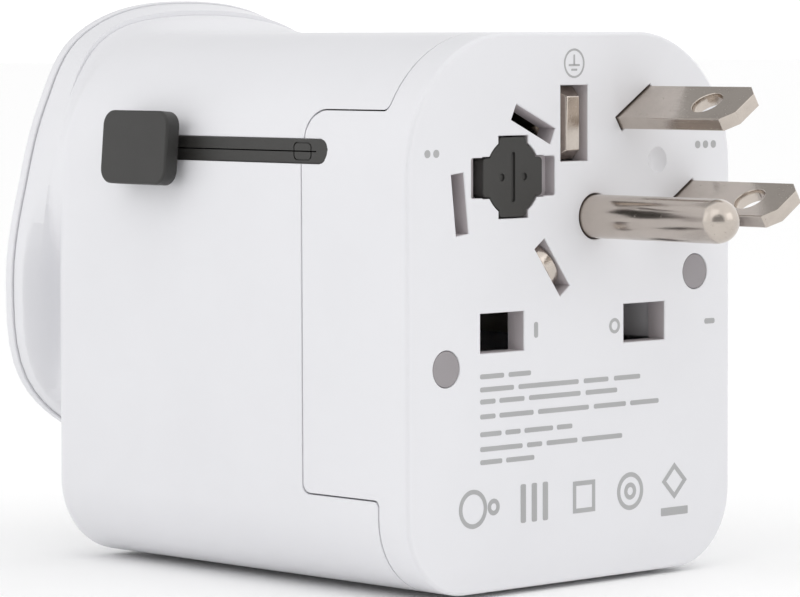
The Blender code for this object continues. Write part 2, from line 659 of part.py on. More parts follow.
def contact_set():
    """The carrier, its three clips and the strips that feed them."""
    carrier = block("contact_carrier", (-16.4, 16.4), (45.0, 58.0), (27.6, 50.8), "white_plastic")
    join(carrier, block("carrier_head", (-6.0, 6.0), (45.0, 58.0), (50.0, 57.9)))
    for side, label in ((-1, "neutral"), (1, "live")):
        xs = sorted((side * 4.9, side * 15.0))
        zs = (SOCKET_Z - 3.2, SOCKET_Z + 3.2)
        contact(f"{label}_contact", xs, zs, slot_zs=(SOCKET_Z - 1.9, SOCKET_Z + 1.9))
        pocket = (zs[0] - GAP, zs[1] + GAP)
        cut(carrier, block(f"{label}_pocket", (xs[0] - GAP, xs[1] + GAP), (46.7, 59.0), pocket))
        lead_x = sorted((side * 9.0, side * 12.0))
        strip_xs = sorted((side * 7.0, side * 14.6))
        strip = block(f"{label}_strip", strip_xs, (35.4, 36.2), (26.0, 36.0), "brass")
        tab = block(f"{label}_tab", lead_x, (35.9, 46.4), (SOCKET_Z - 0.5, SOCKET_Z + 0.5))
        join(strip, tab)
        cut(carrier, block(f"{label}_feed", (lead_x[0] - GAP, lead_x[1] + GAP), (44.0, 47.5), (32.2, 33.8)))
    contact("earth_contact", (-3.0, 3.0), (41.5, 57.2), slot_xs=(-1.9, 1.9))
    cut(carrier, block("earth_pocket", (-3.3, 3.3), (46.7, 59.0), (41.2, 57.5)))
    strip = block("earth_strip", (-3.5, 3.5), (35.4, 36.2), (42.0, 54.0), "brass")
    join(strip, block("earth_tab", (-1.5, 1.5), (35.9, 46.4), (49.5, 50.5)))
    cut(carrier, block("earth_feed", (-1.8, 1.8), (44.0, 47.5), (49.2, 50.8)))


def shutter_set():
    low, high = SOCKET_Z - 3.9, SOCKET_Z + 3.9
    plate = block("shutter", (-15.2, 15.2), (58.5, 60.1), (low, high), "grey_plastic")
    join(plate, block("shutter_hook", (-8.6, -6.8), (58.5, 60.1), (high - 1, high + 1.2)))
    return coil("shutter_spring", place(-7.7, 59.3, high + 1.5), (0, 0, 1), 8.0, 0.5, 6, 0.12)


def usb_set():
    block("usb_board", (-16.0, 16.0), (36.8, 57.0), (13.2, 14.6), "green_board")
    width, height = USB_SIZE
    for side, label in ((-1, "left"), (1, "right")):
        x = side * USB_X
        shell = prism(f"usb_port_{label}", rectangle(width, height, (x, USB_Z)), 51.0, DEPTH - 0.4, "steel")
        cavity = rectangle(width - 0.8, height - 0.8, (x, USB_Z))
        cut(shell, prism(f"usb_cavity_{label}", cavity, 52.0, DEPTH + 1))
        tongue = rectangle(11.0, 1.7, (x, USB_Z + 0.9))
        prism(f"usb_tongue_{label}", tongue, 52.3, DEPTH - 1.6, "black_plastic")
    block("transformer", (-13.5, -2.5), (37.5, 49.5), (14.9, 25.4), "tape_yellow")
    bm = bmesh.new()
    bmesh.ops.create_cone(bm, cap_ends=True, segments=16, radius1=4 * MM, radius2=4 * MM, depth=10.4 * MM)
    bmesh.ops.translate(bm, verts=bm.verts, vec=place(6.0, 43.0, 20.1))
    add_object("capacitor", bm, "black_plastic", True)
    rod("lamp_pipe", (0, USB_Z), 0.9, (50.0, DEPTH - 0.2), "clear_lens", 12)


def hang_on(pivot_name, location, names, parent=None):
    """Parents the named objects, and the cutters of their modifiers, to an empty on their joint's axis."""
    pivot = bpy.data.objects.new(pivot_name, None)
    bpy.context.collection.objects.link(pivot)
    pivot.location = location - (parent.location if parent else Vector())
    pivot.parent = parent
    origin = Vector(location)
    for name in names:
        item = bpy.data.objects[name]
        for target in [item] + [m.object for m in item.modifiers if m.type == "BOOLEAN"]:
            target.parent = pivot
            target.location = -origin
    return pivot


def add_pivots():
    """One empty for each moving body, at the middle of its knob or cap."""
    groups = (
        ("au", IN_DEPTH, -1, UPPER_KNOB_Z, ("live_blade", "neutral_blade", "earth_blade")),
        ("us", OUT_DEPTH, 1, UPPER_KNOB_Z, ("live_blade", "neutral_blade", "earth_pin")),
        ("uk", IN_DEPTH, 1, LOWER_KNOB_Z, ("live_pin", "neutral_pin", "earth_pin")),
    )
    for label, front, side, z, pins in groups:
        at = place(side * WIDTH / 2, front + KNOB_BEHIND, z)
        members = [f"{label}_{part}" for part in ("carriage", *pins, "knob_spring")]
        slide = hang_on(f"{label}_slide_pivot", at, members)
        press = hang_on(f"{label}_press_pivot", at, [f"{label}_knob", f"{label}_knob_stem"])
        press.parent = slide
        press.location = (0, 0, 0)
    fuse = ["fuse_cap", "fuse_front_ferrule", "fuse_barrel", "fuse_rear_ferrule"]
    hang_on("fuse_pivot", place(FUSE[0], 0, FUSE[1]), fuse)
    hang_on("shutter_pivot", place(0, 59.3, SOCKET_Z), ["shutter"])


def build():
    clear_scene()
    plug_housing()
    rear_housing()
    socket_cover()
    for label in SCREWS:
        screw_set(label)
    au_group()
    us_group()
    uk_group()
    fuse_set()
    inner_frame()
    contact_set()
    shutter_set()
    usb_set()
    add_pivots()


build()
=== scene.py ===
import json
import math

import bmesh
import bpy
from mathutils import Matrix, Vector

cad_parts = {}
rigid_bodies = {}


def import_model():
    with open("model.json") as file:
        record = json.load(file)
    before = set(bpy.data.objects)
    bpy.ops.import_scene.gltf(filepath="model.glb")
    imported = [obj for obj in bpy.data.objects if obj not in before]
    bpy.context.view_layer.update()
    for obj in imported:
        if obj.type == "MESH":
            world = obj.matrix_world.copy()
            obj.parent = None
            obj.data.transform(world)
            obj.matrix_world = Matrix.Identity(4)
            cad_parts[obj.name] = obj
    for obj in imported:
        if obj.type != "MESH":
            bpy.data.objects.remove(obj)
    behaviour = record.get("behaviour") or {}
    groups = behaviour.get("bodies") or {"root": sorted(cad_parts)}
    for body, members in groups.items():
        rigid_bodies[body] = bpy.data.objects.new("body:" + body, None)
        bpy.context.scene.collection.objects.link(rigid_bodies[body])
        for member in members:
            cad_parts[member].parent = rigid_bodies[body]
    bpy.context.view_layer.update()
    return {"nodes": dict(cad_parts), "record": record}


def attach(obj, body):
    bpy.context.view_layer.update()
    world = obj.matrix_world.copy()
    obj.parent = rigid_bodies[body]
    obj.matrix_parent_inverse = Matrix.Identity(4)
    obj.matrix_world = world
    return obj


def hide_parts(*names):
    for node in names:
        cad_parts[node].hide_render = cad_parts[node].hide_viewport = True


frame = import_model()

# The adapter's own measure: x across, depth behind the plug face, z up, all in millimetres
mm = 0.001
faceDepth = 30.0                             # the frame's origin lies this far behind the plug face

case = {
    "width": 50.4, "height": 60.0, "wall": 1.8, "faceWall": 2.5,
    "topRadius": 15.0, "footRadius": 8.5, "faceEdge": 0.45, "seamGap": 0.16,
    "skirt": 4.45, "tongueEnd": 16.4, "tongueLow": 10.5, "tongueHigh": 51.7,
    "seamCorners": {2: 0.7, 3: 1.1, 4: 2.3, 5: 0.7},                 # the seam's corners, from below upwards
}
end = {                                      # the flared end and its cover
    "shellEnd": 64.45, "lip": 0.3, "centreZ": 33.0, "depth": 66.0,
    "radii": ((-90, 24.6), (-55, 25.6), (-28, 28.4), (-5, 27.2),     # the flange's radius at each angle
              (20, 26.8), (40, 28.9), (57, 31.5), (90, 30.8)),
    "dish": (0.0, 41.5), "dishRadius": 18.0, "dishDepth": 2.0,
}
slide = {
    "travel": 23.5, "outDepth": 2.8, "knobBehind": 14.7, "upperZ": 47.3, "lowerZ": 22.0,
    "trackStart": 12.5, "trackEnd": 44.5, "trackHeight": 2.7,
}
slide["inDepth"] = slide["outDepth"] + slide["travel"]
pins = {                                     # (x, z, turn in degrees)
    "auLive": (-17.4, 41.8, -83.6), "auNeutral": (-6.3, 50.1, -24.7), "auEarth": (-3.42, 34.54, -53.5),
    "usLive": (16.70, 41.03, 33.0), "usNeutral": (9.78, 51.68, 33.0), "usEarth": (3.26, 39.87, 0.0),
    "ukLive": (-11.1, 27.9, 0.0), "ukNeutral": (11.1, 27.9, 0.0), "ukEarth": (0.0, 50.1, 0.0),
}
blades = {
    "au": {"size": (6.3, 1.6), "corner": 0.9, "tip": 0.42, "length": 18.0,
           "earthLength": 23.3, "earthCorner": 3.0},
    "us": {"size": (6.35, 1.55), "corner": 1.4, "tip": 0.5, "length": 16.3,
           "holeRadius": 1.8, "holeBack": 5.4, "rodRadius": 2.4, "rodLength": 20.3},
    "uk": {"size": (6.35, 4.0), "earthSize": (4.0, 8.0), "taper": 2.0, "narrow": 1.05, "length": 17.7,
           "earthLength": 23.3},
}
fuse = (-9.36, 44.5)
screws = {"upper": (19.39, 33.15), "lower": (-19.47, 24.4)}
dimple = {"centre": (13.2, 45.8), "ball": 2.0, "ballDepth": -1.35}
tinyEdge = 1e-6                              # metres, for telling points apart


def at(x, depth, z):
    return Vector((x, depth - faceDepth, z)) * mm


# Shader maths

class Socket:
    # wraps one output so that plain expressions add Math nodes
    def __init__(self, tree, socket):
        self.tree, self.socket = tree, socket

    def math(self, operation, *others):
        return self.tree.node("ShaderNodeMath", {"operation": operation}, [self, *others])

    def __add__(self, other):
        return self.math("ADD", other)

    def __radd__(self, other):
        return self.math("ADD", other)

    def __sub__(self, other):
        return self.math("SUBTRACT", other)

    def __rsub__(self, other):
        return self.tree.node("ShaderNodeMath", {"operation": "SUBTRACT"}, [other, self])

    def __mul__(self, other):
        return self.math("MULTIPLY", other)

    def low(self, other):
        return self.math("MINIMUM", other)

    def step(self, start, finish):           # 0 below start, 1 above finish, smooth between
        return self.tree.node("ShaderNodeMapRange", {"interpolation_type": "SMOOTHSTEP"},
                              {"Value": self, "From Min": start, "From Max": finish}, "Result")


class Paint:
    # one material's node tree
    def __init__(self, name, colour, roughness, metallic=0.0, **fixed):
        self.material = bpy.data.materials.new(name)
        self.material.use_nodes = True
        self.nodes = self.material.node_tree.nodes
        self.links = self.material.node_tree.links
        self.shader = self.nodes["Principled BSDF"]
        self.put("Base Color", (*colour, 1.0))
        self.put("Roughness", roughness)
        self.put("Metallic", metallic)
        for socket, value in fixed.items():
            self.put(socket.replace("_", " "), value)
        self.place = self.node("ShaderNodeTexCoord", {}, {}, "Object")

    def node(self, kind, settings, inputs, output=0):
        made = self.nodes.new(kind)
        for key, value in settings.items():
            setattr(made, key, value)
        pairs = inputs.items() if isinstance(inputs, dict) else enumerate(inputs)
        for key, value in pairs:
            self.feed(made.inputs[key], value)
        return Socket(self, made.outputs[output])

    def feed(self, socket, value):
        if isinstance(value, Socket):
            self.links.new(value.socket, socket)
        else:
            socket.default_value = value

    def put(self, name, value):
        self.feed(self.shader.inputs[name], value)

    def noise(self, scale, detail, roughness, place=None):
        return self.node("ShaderNodeTexNoise", {}, {"Vector": place or self.place, "Scale": scale,
                                                    "Detail": detail, "Roughness": roughness}, "Fac")

    def mix(self, factor, first, second):    # inputs 6 and 7 and output 2 are the node's colour sockets
        return self.node("ShaderNodeMix", {"data_type": "RGBA"},
                         {0: factor, 6: (*first, 1.0), 7: (*second, 1.0)}, 2)

    def bump(self, height, strength, distance):
        self.put("Normal", self.node("ShaderNodeBump", {}, {"Height": height, "Strength": strength,
                                                            "Distance": distance}, "Normal"))


def shade(colour, by):
    return tuple(min(max(c * by, 0.0), 1.0) for c in colour)


def mouldedPlastic(name, colour, roughness, grain=0.5, grainScale=9000, spread=0.03, **fixed):
    # moulded plastic: a fine spark-eroded grain, faint flow clouds in the colour, slightly uneven gloss
    paint = Paint(name, colour, roughness, **fixed)
    clouds = paint.noise(60, 4, 0.55)
    fine = paint.noise(grainScale, 2, 0.6)
    broad = paint.noise(420, 3, 0.5)
    paint.put("Base Color", paint.mix(clouds.step(0.3, 0.7), shade(colour, 1 - spread),
                                      shade(colour, 1 + spread * 0.6)))
    paint.put("Roughness", roughness + (broad - 0.5) * 0.10 + (fine - 0.5) * 0.06)
    paint.bump(fine + broad * 0.6, grain, 0.00002)
    return paint


def drawnMetal(name, colour, roughness, direction=(1.0, 0.06, 1.0), wear=0.12, **fixed):
    # plated or stamped metal: fine drawing lines along its length, stains and small scratches
    paint = Paint(name, colour, roughness, 1.0, **fixed)
    stretched = paint.node("ShaderNodeMapping", {}, {"Vector": paint.place, "Scale": direction})
    lines = paint.noise(5200, 3, 0.65, stretched)
    stains = paint.noise(230, 5, 0.6)
    specks = paint.noise(2600, 2, 0.7)
    tone = stains.step(0.42, 0.72)
    dull = specks.step(0.62, 0.74)
    dirt = (tone * 0.7 + dull * 0.5).low(1.0)
    paint.put("Base Color", paint.mix(dirt, shade(colour, 1.04), shade(colour, 1 - wear)))
    paint.put("Roughness", roughness + (lines - 0.5) * 0.16 + tone * 0.07 + dull * 0.12)
    paint.bump(lines + dull * 0.4, 0.35, 0.00001)
    return paint


white = (0.775, 0.775, 0.80)
paints = {
    "white_plastic": mouldedPlastic("satinWhite", white, 0.36, 0.16, 5200, 0.012, Specular_IOR_Level=0.45),
    # painted shade: a darker, mauve copy of the white plastic for the walls of the openings in the plug face,
    # standing in for the dimmer light inside them
    "painted_shade_white": mouldedPlastic("shadedWhite", (0.60, 0.56, 0.575), 0.5, 0.3, 2600, 0.10),
    "dark_plastic": mouldedPlastic("knobDark", (0.030, 0.029, 0.0275), 0.50, 0.5, 5200, 0.10),
    "black_plastic": mouldedPlastic("stripBlack", (0.030, 0.029, 0.027), 0.46, 0.4, 6400, 0.12),
    "grey_plastic": mouldedPlastic("plugGrey", (0.30, 0.28, 0.29), 0.55, 0.4, 6400, 0.06),
    "plated_metal": drawnMetal("nickelPlate", (0.55, 0.495, 0.445), 0.17),
    "brass": drawnMetal("stampedBrass", (0.74, 0.56, 0.29), 0.30),
    "steel": drawnMetal("zincSteel", (0.60, 0.60, 0.62), 0.34),
    "ceramic": mouldedPlastic("fuseCeramic", (0.80, 0.76, 0.68), 0.62, 0.6, 3800, 0.05),
    "clear_lens": mouldedPlastic("lampLens", (0.75, 0.85, 0.95), 0.12, 0.1, 5000, 0.02,
                                 Transmission_Weight=0.6, IOR=1.49),
}


def circuitGreen():
    # solder resist with copper tracks showing through as a lighter green
    paint = mouldedPlastic("circuitGreen", (0.03, 0.22, 0.10), 0.42, 0.2, 5200, 0.08)
    wave = paint.node("ShaderNodeTexWave", {"wave_type": "BANDS", "bands_direction": "X"},
                      {"Vector": paint.place, "Scale": 260.0, "Distortion": 2.5, "Detail": 1.0,
                       "Detail Scale": 1.2}, "Fac")
    tracks = wave.step(0.72, 0.82)
    paint.put("Base Color", paint.mix(tracks, (0.022, 0.18, 0.08), (0.07, 0.36, 0.17)))
    paint.put("Roughness", 0.42 - tracks * 0.12)
    paint.bump(tracks, 0.4, 0.00003)
    return paint


def woundTape():
    # polyester tape in overlapping turns
    paint = mouldedPlastic("woundTape", (0.75, 0.53, 0.08), 0.34, 0.2, 3000, 0.06)
    turns = {"wave_type": "BANDS", "bands_direction": "Y", "wave_profile": "SAW"}
    wave = paint.node("ShaderNodeTexWave", turns,
                      {"Vector": paint.place, "Scale": 95.0, "Distortion": 0.15}, "Fac")
    paint.put("Base Color", paint.mix(wave, (0.66, 0.45, 0.05), (0.82, 0.62, 0.13)))
    paint.bump(wave, 0.6, 0.00006)
    return paint


paints["green_board"] = circuitGreen()
paints["tape_yellow"] = woundTape()

for name, node in frame["nodes"].items():
    slotName = next(s["material_slot"] for s in frame["record"]["subparts"] if s["node"] == name)
    node.data.materials.clear()
    node.data.materials.append(paints[slotName].material)
print("finishes for", len(frame["nodes"]), "packed parts")


# Making solids

def pull(bm, faces, along):
    made = bmesh.ops.extrude_face_region(bm, geom=faces)["geom"]
    moved = [g for g in made if isinstance(g, bmesh.types.BMVert)]
    bmesh.ops.translate(bm, verts=moved, vec=Vector(along) * mm)
    return [g for g in made if isinstance(g, bmesh.types.BMFace)]


def rounded(bm, parts, size, segments=3, affect="EDGES"):
    bmesh.ops.bevel(bm, geom=parts, offset=size * mm, offset_type="OFFSET", segments=segments,
                    profile=0.5, affect=affect, material=-1, clamp_overlap=True)


def plate(points, start, finish, radius=0.0, segments=6):
    # a straight solid between two depths, its outline given as (x, z), with rounded corners
    bm = bmesh.new()
    bm.faces.new([bm.verts.new(at(x, start, z)) for x, z in points])
    if radius:
        rounded(bm, bm.verts[:], radius, segments, "VERTICES")
    pull(bm, bm.faces[:], (0, finish - start, 0))
    bmesh.ops.recalc_face_normals(bm, faces=bm.faces)
    return bm


def sidePlate(points, start, finish, radius=0.0, segments=6):
    # the same across the case: its outline given as (depth, z), between two x
    bm = bmesh.new()
    bm.faces.new([bm.verts.new(at(start, depth, z)) for depth, z in points])
    if radius:
        rounded(bm, bm.verts[:], radius, segments, "VERTICES")
    pull(bm, bm.faces[:], (finish - start, 0, 0))
    bmesh.ops.recalc_face_normals(bm, faces=bm.faces)
    return bm


def box(xs, depths, zs):
    return plate([(xs[0], zs[0]), (xs[1], zs[0]), (xs[1], zs[1]), (xs[0], zs[1])], *depths)


def rectangle(width, height, centre=(0.0, 0.0), degrees=0.0):
    c, s = math.cos(math.radians(degrees)), math.sin(math.radians(degrees))
    corners = [(width / 2 * right, height / 2 * up) for right, up in ((-1, -1), (1, -1), (1, 1), (-1, 1))]
    return [(centre[0] + x * c - z * s, centre[1] + x * s + z * c) for x, z in corners]


def disc(centre, radius, depths, sides=48):
    bm = bmesh.new()
    bmesh.ops.create_circle(bm, cap_ends=True, radius=radius * mm, segments=sides)
    bmesh.ops.rotate(bm, verts=bm.verts, cent=(0, 0, 0), matrix=Matrix.Rotation(math.pi / 2, 3, "X"))
    bmesh.ops.translate(bm, verts=bm.verts, vec=at(centre[0], depths[0], centre[1]))
    pull(bm, bm.faces[:], (0, depths[1] - depths[0], 0))
    bmesh.ops.recalc_face_normals(bm, faces=bm.faces)
    return bm


def toObject(name, bm):
    mesh = bpy.data.meshes.new(name)
    bm.to_mesh(mesh)
    bm.free()
    made = bpy.data.objects.new(name, mesh)
    bpy.context.scene.collection.objects.link(made)
    return made


def settle(item):
    # applies the modifiers
    bpy.context.view_layer.update()
    held = item.evaluated_get(bpy.context.evaluated_depsgraph_get())
    mesh = bpy.data.meshes.new_from_object(held)
    item.modifiers.clear()
    item.data = mesh
    return item


def carve(item, operation, tools):
    group = bpy.data.collections.new("tools")
    bpy.context.scene.collection.children.link(group)
    for index, bm in enumerate(tools):
        tool = toObject(f"tool{index}", bm)
        bpy.context.scene.collection.objects.unlink(tool)
        group.objects.link(tool)
    change = item.modifiers.new("carve", "BOOLEAN")
    change.operation, change.solver = operation, "EXACT"
    change.operand_type, change.collection = "COLLECTION", group
    settle(item)
    for tool in list(group.objects):
        bpy.data.objects.remove(tool)
    bpy.data.collections.remove(group)
    return item


def soften(item, chosen, size, segments=2):
    # rounds the sharp edges that chosen() accepts
    bm = bmesh.new()
    bm.from_mesh(item.data)
    bmesh.ops.remove_doubles(bm, verts=bm.verts, dist=0.004 * mm)
    bm.normal_update()
    sharp = [e for e in bm.edges if len(e.link_faces) == 2 and e.calc_face_angle(0) > math.radians(50)
             and all(chosen(v.co.x / mm, v.co.y / mm + faceDepth, v.co.z / mm) for v in e.verts)]
    bmesh.ops.bevel(bm, geom=sharp, offset=size * mm, offset_type="OFFSET", segments=segments, profile=0.5,
                    affect="EDGES", material=-1, clamp_overlap=False)
    bm.to_mesh(item.data)
    bm.free()
    return item


def finishPiece(item, body, slotName, replaced, paint=None, inner=None, angle=18):
    item.data.shade_smooth()
    item.data.set_sharp_from_angle(angle=math.radians(angle))
    flat = item.modifiers.new("flatNormals", "WEIGHTED_NORMAL")
    flat.keep_sharp = True
    settle(item)
    item.data.materials.clear()
    item.data.materials.append((paint or paints[slotName]).material)
    # faces that inner() accepts get the painted-shade copy of the white plastic
    if inner:
        item.data.materials.append(paints["painted_shade_white"].material)
        for face in item.data.polygons:
            middle = face.center
            if inner(middle.x / mm, middle.y / mm + faceDepth, middle.z / mm):
                face.material_index = 1
    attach(item, body)
    if replaced:
        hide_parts(*replaced)
    return item


# The casing

def bodyFace(inset, depth):
    bm = bmesh.new()
    half, top = case["width"] / 2 - inset, case["height"] - inset
    corners = ((-half, inset), (half, inset), (half, top), (-half, top))
    bm.faces.new([bm.verts.new(at(x, depth, z)) for x, z in corners])
    tops = [v for v in bm.verts if v.co.z > case["height"] / 2 * mm]
    rounded(bm, tops, case["topRadius"] - inset, 18, "VERTICES")
    feet = [v for v in bm.verts if v.co.z < (inset + 0.01) * mm]
    rounded(bm, feet, case["footRadius"] - inset, 16, "VERTICES")
    flats = [e for e in bm.edges if e.calc_length() > 10 * mm]       # the straight sides
    bmesh.ops.subdivide_edges(bm, edges=flats, cuts=15)
    return bm


def drawBody(inset, stages):
    # the body's outline drawn back through stages of (depth, shape): a shape moves a point of the outline,
    # and gives its own depth where the stage has None
    bm = bodyFace(inset, stages[0][0])
    home = bm.verts.layers.float_vector.new("home")
    for vertex in bm.verts:
        vertex[home] = vertex.co
    bm.faces.ensure_lookup_table()
    cap = bm.faces[0]
    for index, (depth, shape) in enumerate(stages):
        if index:
            last = cap
            cap = pull(bm, [last], (0, 0, 0))[0]
            if index > 1 and last.is_valid:
                bmesh.ops.delete(bm, geom=[last], context="FACES_ONLY")
        for vertex in cap.verts:
            x, z, *own = shape(vertex[home].x / mm, vertex[home].z / mm)
            vertex.co = at(x, own[0] if depth is None else depth, z)
    bmesh.ops.recalc_face_normals(bm, faces=bm.faces)
    return bm


def smooth(t):
    t = min(max(t, 0.0), 1.0)
    return t * t * (3 - 2 * t)


def flangeRadius(degrees):
    radii = end["radii"]
    index = max(i for i in range(len(radii) - 1) if radii[i][0] <= max(degrees, -90))
    (a0, r0), (a1, r1) = radii[index], radii[index + 1]
    before = radii[index - 1] if index else (2 * a0 - a1, r1)
    after = radii[index + 2] if index + 2 < len(radii) else (2 * a1 - a0, r0)
    slope0, slope1 = (r1 - before[1]) / (a1 - before[0]), (after[1] - r0) / (after[0] - a0)
    t, span = (degrees - a0) / (a1 - a0), a1 - a0
    return ((2 * t**3 - 3 * t**2 + 1) * r0 + (t**3 - 2 * t**2 + t) * span * slope0
            + (3 * t**2 - 2 * t**3) * r1 + (t**3 - t**2) * span * slope1)


def polar(x, z):
    height = z - end["centreZ"]
    return math.degrees(math.atan2(height, abs(x))), math.hypot(x, height)


def atRadius(x, z, radius):
    _, reach = polar(x, z)
    return x * radius / reach, end["centreZ"] + (z - end["centreZ"]) * radius / reach


flare = {
    "sideStart": 57.3, "drop": 1.5, "hollow": 60.5, "neck": 2.7, "sideEnd": 63.0,
    "topStart": 56.4, "crease": 61.9, "creaseLong": 0.16, "wedge": 60.1, "step": 0.42, "groove": 0.22,
    "rings": 60,
}


def sideProfile(t, reach, flange):
    # (depth, radius) along the rounded edge, the finger hollow and the flange's front
    drop = flare["drop"]
    if t < 0.25:
        a = math.radians(90 * t / 0.25)
        return flare["sideStart"] + drop * math.sin(a), reach - drop * (1 - math.cos(a))
    low = min(reach - flare["neck"], flange - 0.4)
    start = flare["sideStart"] + drop
    if t < 0.5:
        u = (t - 0.25) / 0.25
        edge = max(reach - drop, low)
        return start + (flare["hollow"] - start) * u, edge + (low - edge) * (1 - (1 - u) ** 2)
    if t < 0.9:
        u = (t - 0.5) / 0.4
        depth = flare["hollow"] + (flare["sideEnd"] - flare["hollow"]) * u ** 0.8
        return depth, low + (flange - low) * smooth(u)
    u = (t - 0.9) / 0.1
    return flare["sideEnd"] + (end["shellEnd"] - flare["sideEnd"]) * u, flange


def topProfile(t, reach, flange, degrees):
    # (depth, radius) up the ramp over the top, to a fine step that fades out at the corners
    high = smooth((degrees - 40) / 16)
    crease = flare["wedge"] + (flare["crease"] - flare["wedge"]) * smooth((degrees - 40) / 30)
    step = flare["step"] * high
    before = reach + (flange - reach) * 0.72 - step
    if t < 0.6:
        u = t / 0.6
        return flare["topStart"] + (crease - flare["topStart"]) * u, reach + (before - reach) * smooth(u)
    if t < 0.7:
        u = (t - 0.6) / 0.1
        groove = flare["groove"] * high * math.sin(math.pi * min(u * 1.5, 1))
        return crease + flare["creaseLong"] * u, before + step * smooth(u) - groove
    u = (t - 0.7) / 0.3
    start = crease + flare["creaseLong"]
    after = before + step
    return start + (end["shellEnd"] - start) * u, after + (flange - after) * smooth(0.25 + 0.75 * u)


def flareShape(t, inset=0.0):
    # behind the body: a ramp to the flange over the top, a rounded edge and a hollow at the sides and below
    def shape(x, z):
        degrees, reach = polar(x, z)
        flange = flangeRadius(degrees) - end["lip"]
        sideDepth, side = sideProfile(t, reach, flange)
        topDepth, top = topProfile(t, reach, flange, degrees)
        weight = smooth((26 - degrees) / 30)
        depth = topDepth * (1 - weight) + sideDepth * weight
        return *atRadius(x, z, top * (1 - weight) + side * weight - inset), depth
    return shape


def same(x, z):
    return x, z


def shrunk(amount):
    # the body's outline, drawn in by amount
    def shape(x, z):
        half, top, foot = case["width"] / 2, case["topRadius"], case["footRadius"]
        radius = top if z > 30 else foot
        cx = math.copysign(half - radius, x) if abs(x) > half - radius else x
        cz = case["height"] - top if z > case["height"] - top else (foot if z < foot else z)
        dx, dz = x - cx, z - cz
        long = math.hypot(dx, dz)
        if long < 1e-6:
            return x, z
        return x - dx / long * amount, z - dz / long * amount
    return shape


def shellOuter():
    edge = case["faceEdge"]
    stages = []
    for degrees in range(90, -1, -15):
        a = math.radians(degrees)
        stages.append((edge * (1 - math.sin(a)), shrunk(edge * (1 - math.cos(a)))))
    stages.append((55.7, same))
    for index in range(flare["rings"] + 1):
        stages.append((None, flareShape(index / flare["rings"])))
    return drawBody(0.0, stages)


def shellHollow():
    wall = case["wall"]
    stages = [(case["faceWall"], shrunk(wall)), (55.0, shrunk(wall))]
    for t in (0.3, 0.4, 0.5, 0.6, 0.7, 0.8, 0.9, 1.0):
        stages.append((None, flareShape(t, wall)))
    stages.append((67.0, lambda x, z: atRadius(x, z, flangeRadius(polar(x, z)[0]) - end["lip"] - wall)))
    return drawBody(0.0, stages)


def frontRegion(grow):
    # what the front shell takes of the casing: a skirt round the corners and a tongue down each side
    low, high = case["tongueLow"] - grow, case["tongueHigh"] + grow
    skirt, tongue = case["skirt"] + grow, case["tongueEnd"] + grow
    outline = [(-5, -5), (skirt, -5), (skirt, low), (tongue, low),
               (tongue, high), (skirt, high), (skirt, 70), (-5, 70)]
    bm = bmesh.new()
    verts = [bm.verts.new(at(-40, depth, z)) for depth, z in outline]
    bm.faces.new(verts)
    for index, radius in case["seamCorners"].items():
        bmesh.ops.bevel(bm, geom=[verts[index]], offset=radius * mm, offset_type="OFFSET", segments=8,
                        profile=0.5, affect="VERTICES", material=-1)
    pull(bm, bm.faces[:], (80, 0, 0))
    bmesh.ops.recalc_face_normals(bm, faces=bm.faces)
    return bm


def trackTools():
    tools = []
    half = slide["trackHeight"] / 2
    for side, z in ((-1, slide["upperZ"]), (1, slide["upperZ"]), (1, slide["lowerZ"])):
        front, back = slide["trackStart"], slide["trackEnd"]
        outline = [(front, z - half), (back, z - half), (back, z + half), (front, z + half)]
        tools.append(sidePlate(outline, side * 22.0, side * 27.0, half * 0.98, 10))
    return tools


def inward(x, z):
    # how far a point lies inside the body's outline
    half, top, foot = case["width"] / 2, case["topRadius"], case["footRadius"]
    if z > case["height"] - top and abs(x) > half - top:
        return top - math.hypot(abs(x) - half + top, z - case["height"] + top)
    if z < foot and abs(x) > half - foot:
        return foot - math.hypot(abs(x) - half + foot, z - foot)
    return min(half - abs(x), case["height"] - z, z)


lobes = {"half": 2.1, "radius": 4.1, "reach": (4.5, 4.3), "arc": 8}


def lobedOutline(grow=0.0):
    half, radius = lobes["half"] + grow, lobes["radius"] + grow
    turn = math.degrees(math.asin(half / radius))
    points = []
    for quarter in range(4):
        reach = lobes["reach"][quarter % 2] + grow
        c, s = math.cos(math.pi / 2 * quarter), math.sin(math.pi / 2 * quarter)
        for x, z in ((reach, -half), (reach, half)):
            points.append((fuse[0] + x * c - z * s, fuse[1] + x * s + z * c))
        for i in range(lobes["arc"] + 1):
            a = math.radians(90 * quarter + turn + (90 - 2 * turn) * i / lobes["arc"])
            points.append((fuse[0] + radius * math.cos(a), fuse[1] + radius * math.sin(a)))
    return points


opening = {"through": (-1.0, 4.0), "play": 0.26, "lobePlay": 0.14, "recess": (12.7, 4.3), "recessDepth": 1.5,
           "screw": 2.0, "screwDepth": 18.5}


def faceTools():
    through, play = opening["through"], opening["play"]
    tools = []
    for name, (x, z, degrees) in pins.items():
        if name == "usEarth":
            tools.append(disc((x, z), blades["us"]["rodRadius"] + play / 2, through))
            continue
        look = blades[name[:2]]
        width, height = look["earthSize"] if name == "ukEarth" else look["size"]
        tools.append(plate(rectangle(width + play, height + play, (x, z), degrees), *through))
    tools.append(plate(rectangle(*opening["recess"], fuse), through[0], opening["recessDepth"], 0.25, 3))
    tools.append(plate(lobedOutline(opening["lobePlay"]), *through))
    for centre in screws.values():
        tools.append(disc(centre, opening["screw"], (through[0], opening["screwDepth"])))
    ball = bmesh.new()
    bmesh.ops.create_uvsphere(ball, u_segments=40, v_segments=24, radius=dimple["ball"] * mm)
    x, z = dimple["centre"]
    bmesh.ops.translate(ball, verts=ball.verts, vec=at(x, dimple["ballDepth"], z))
    tools.append(ball)
    return tools


def onFace(x, depth, z):
    return abs(depth) < 0.003 and inward(x, z) > 1.2


def onSeam(x, depth, z):
    return 2.0 < depth < 50 and inward(x, z) < 0.01
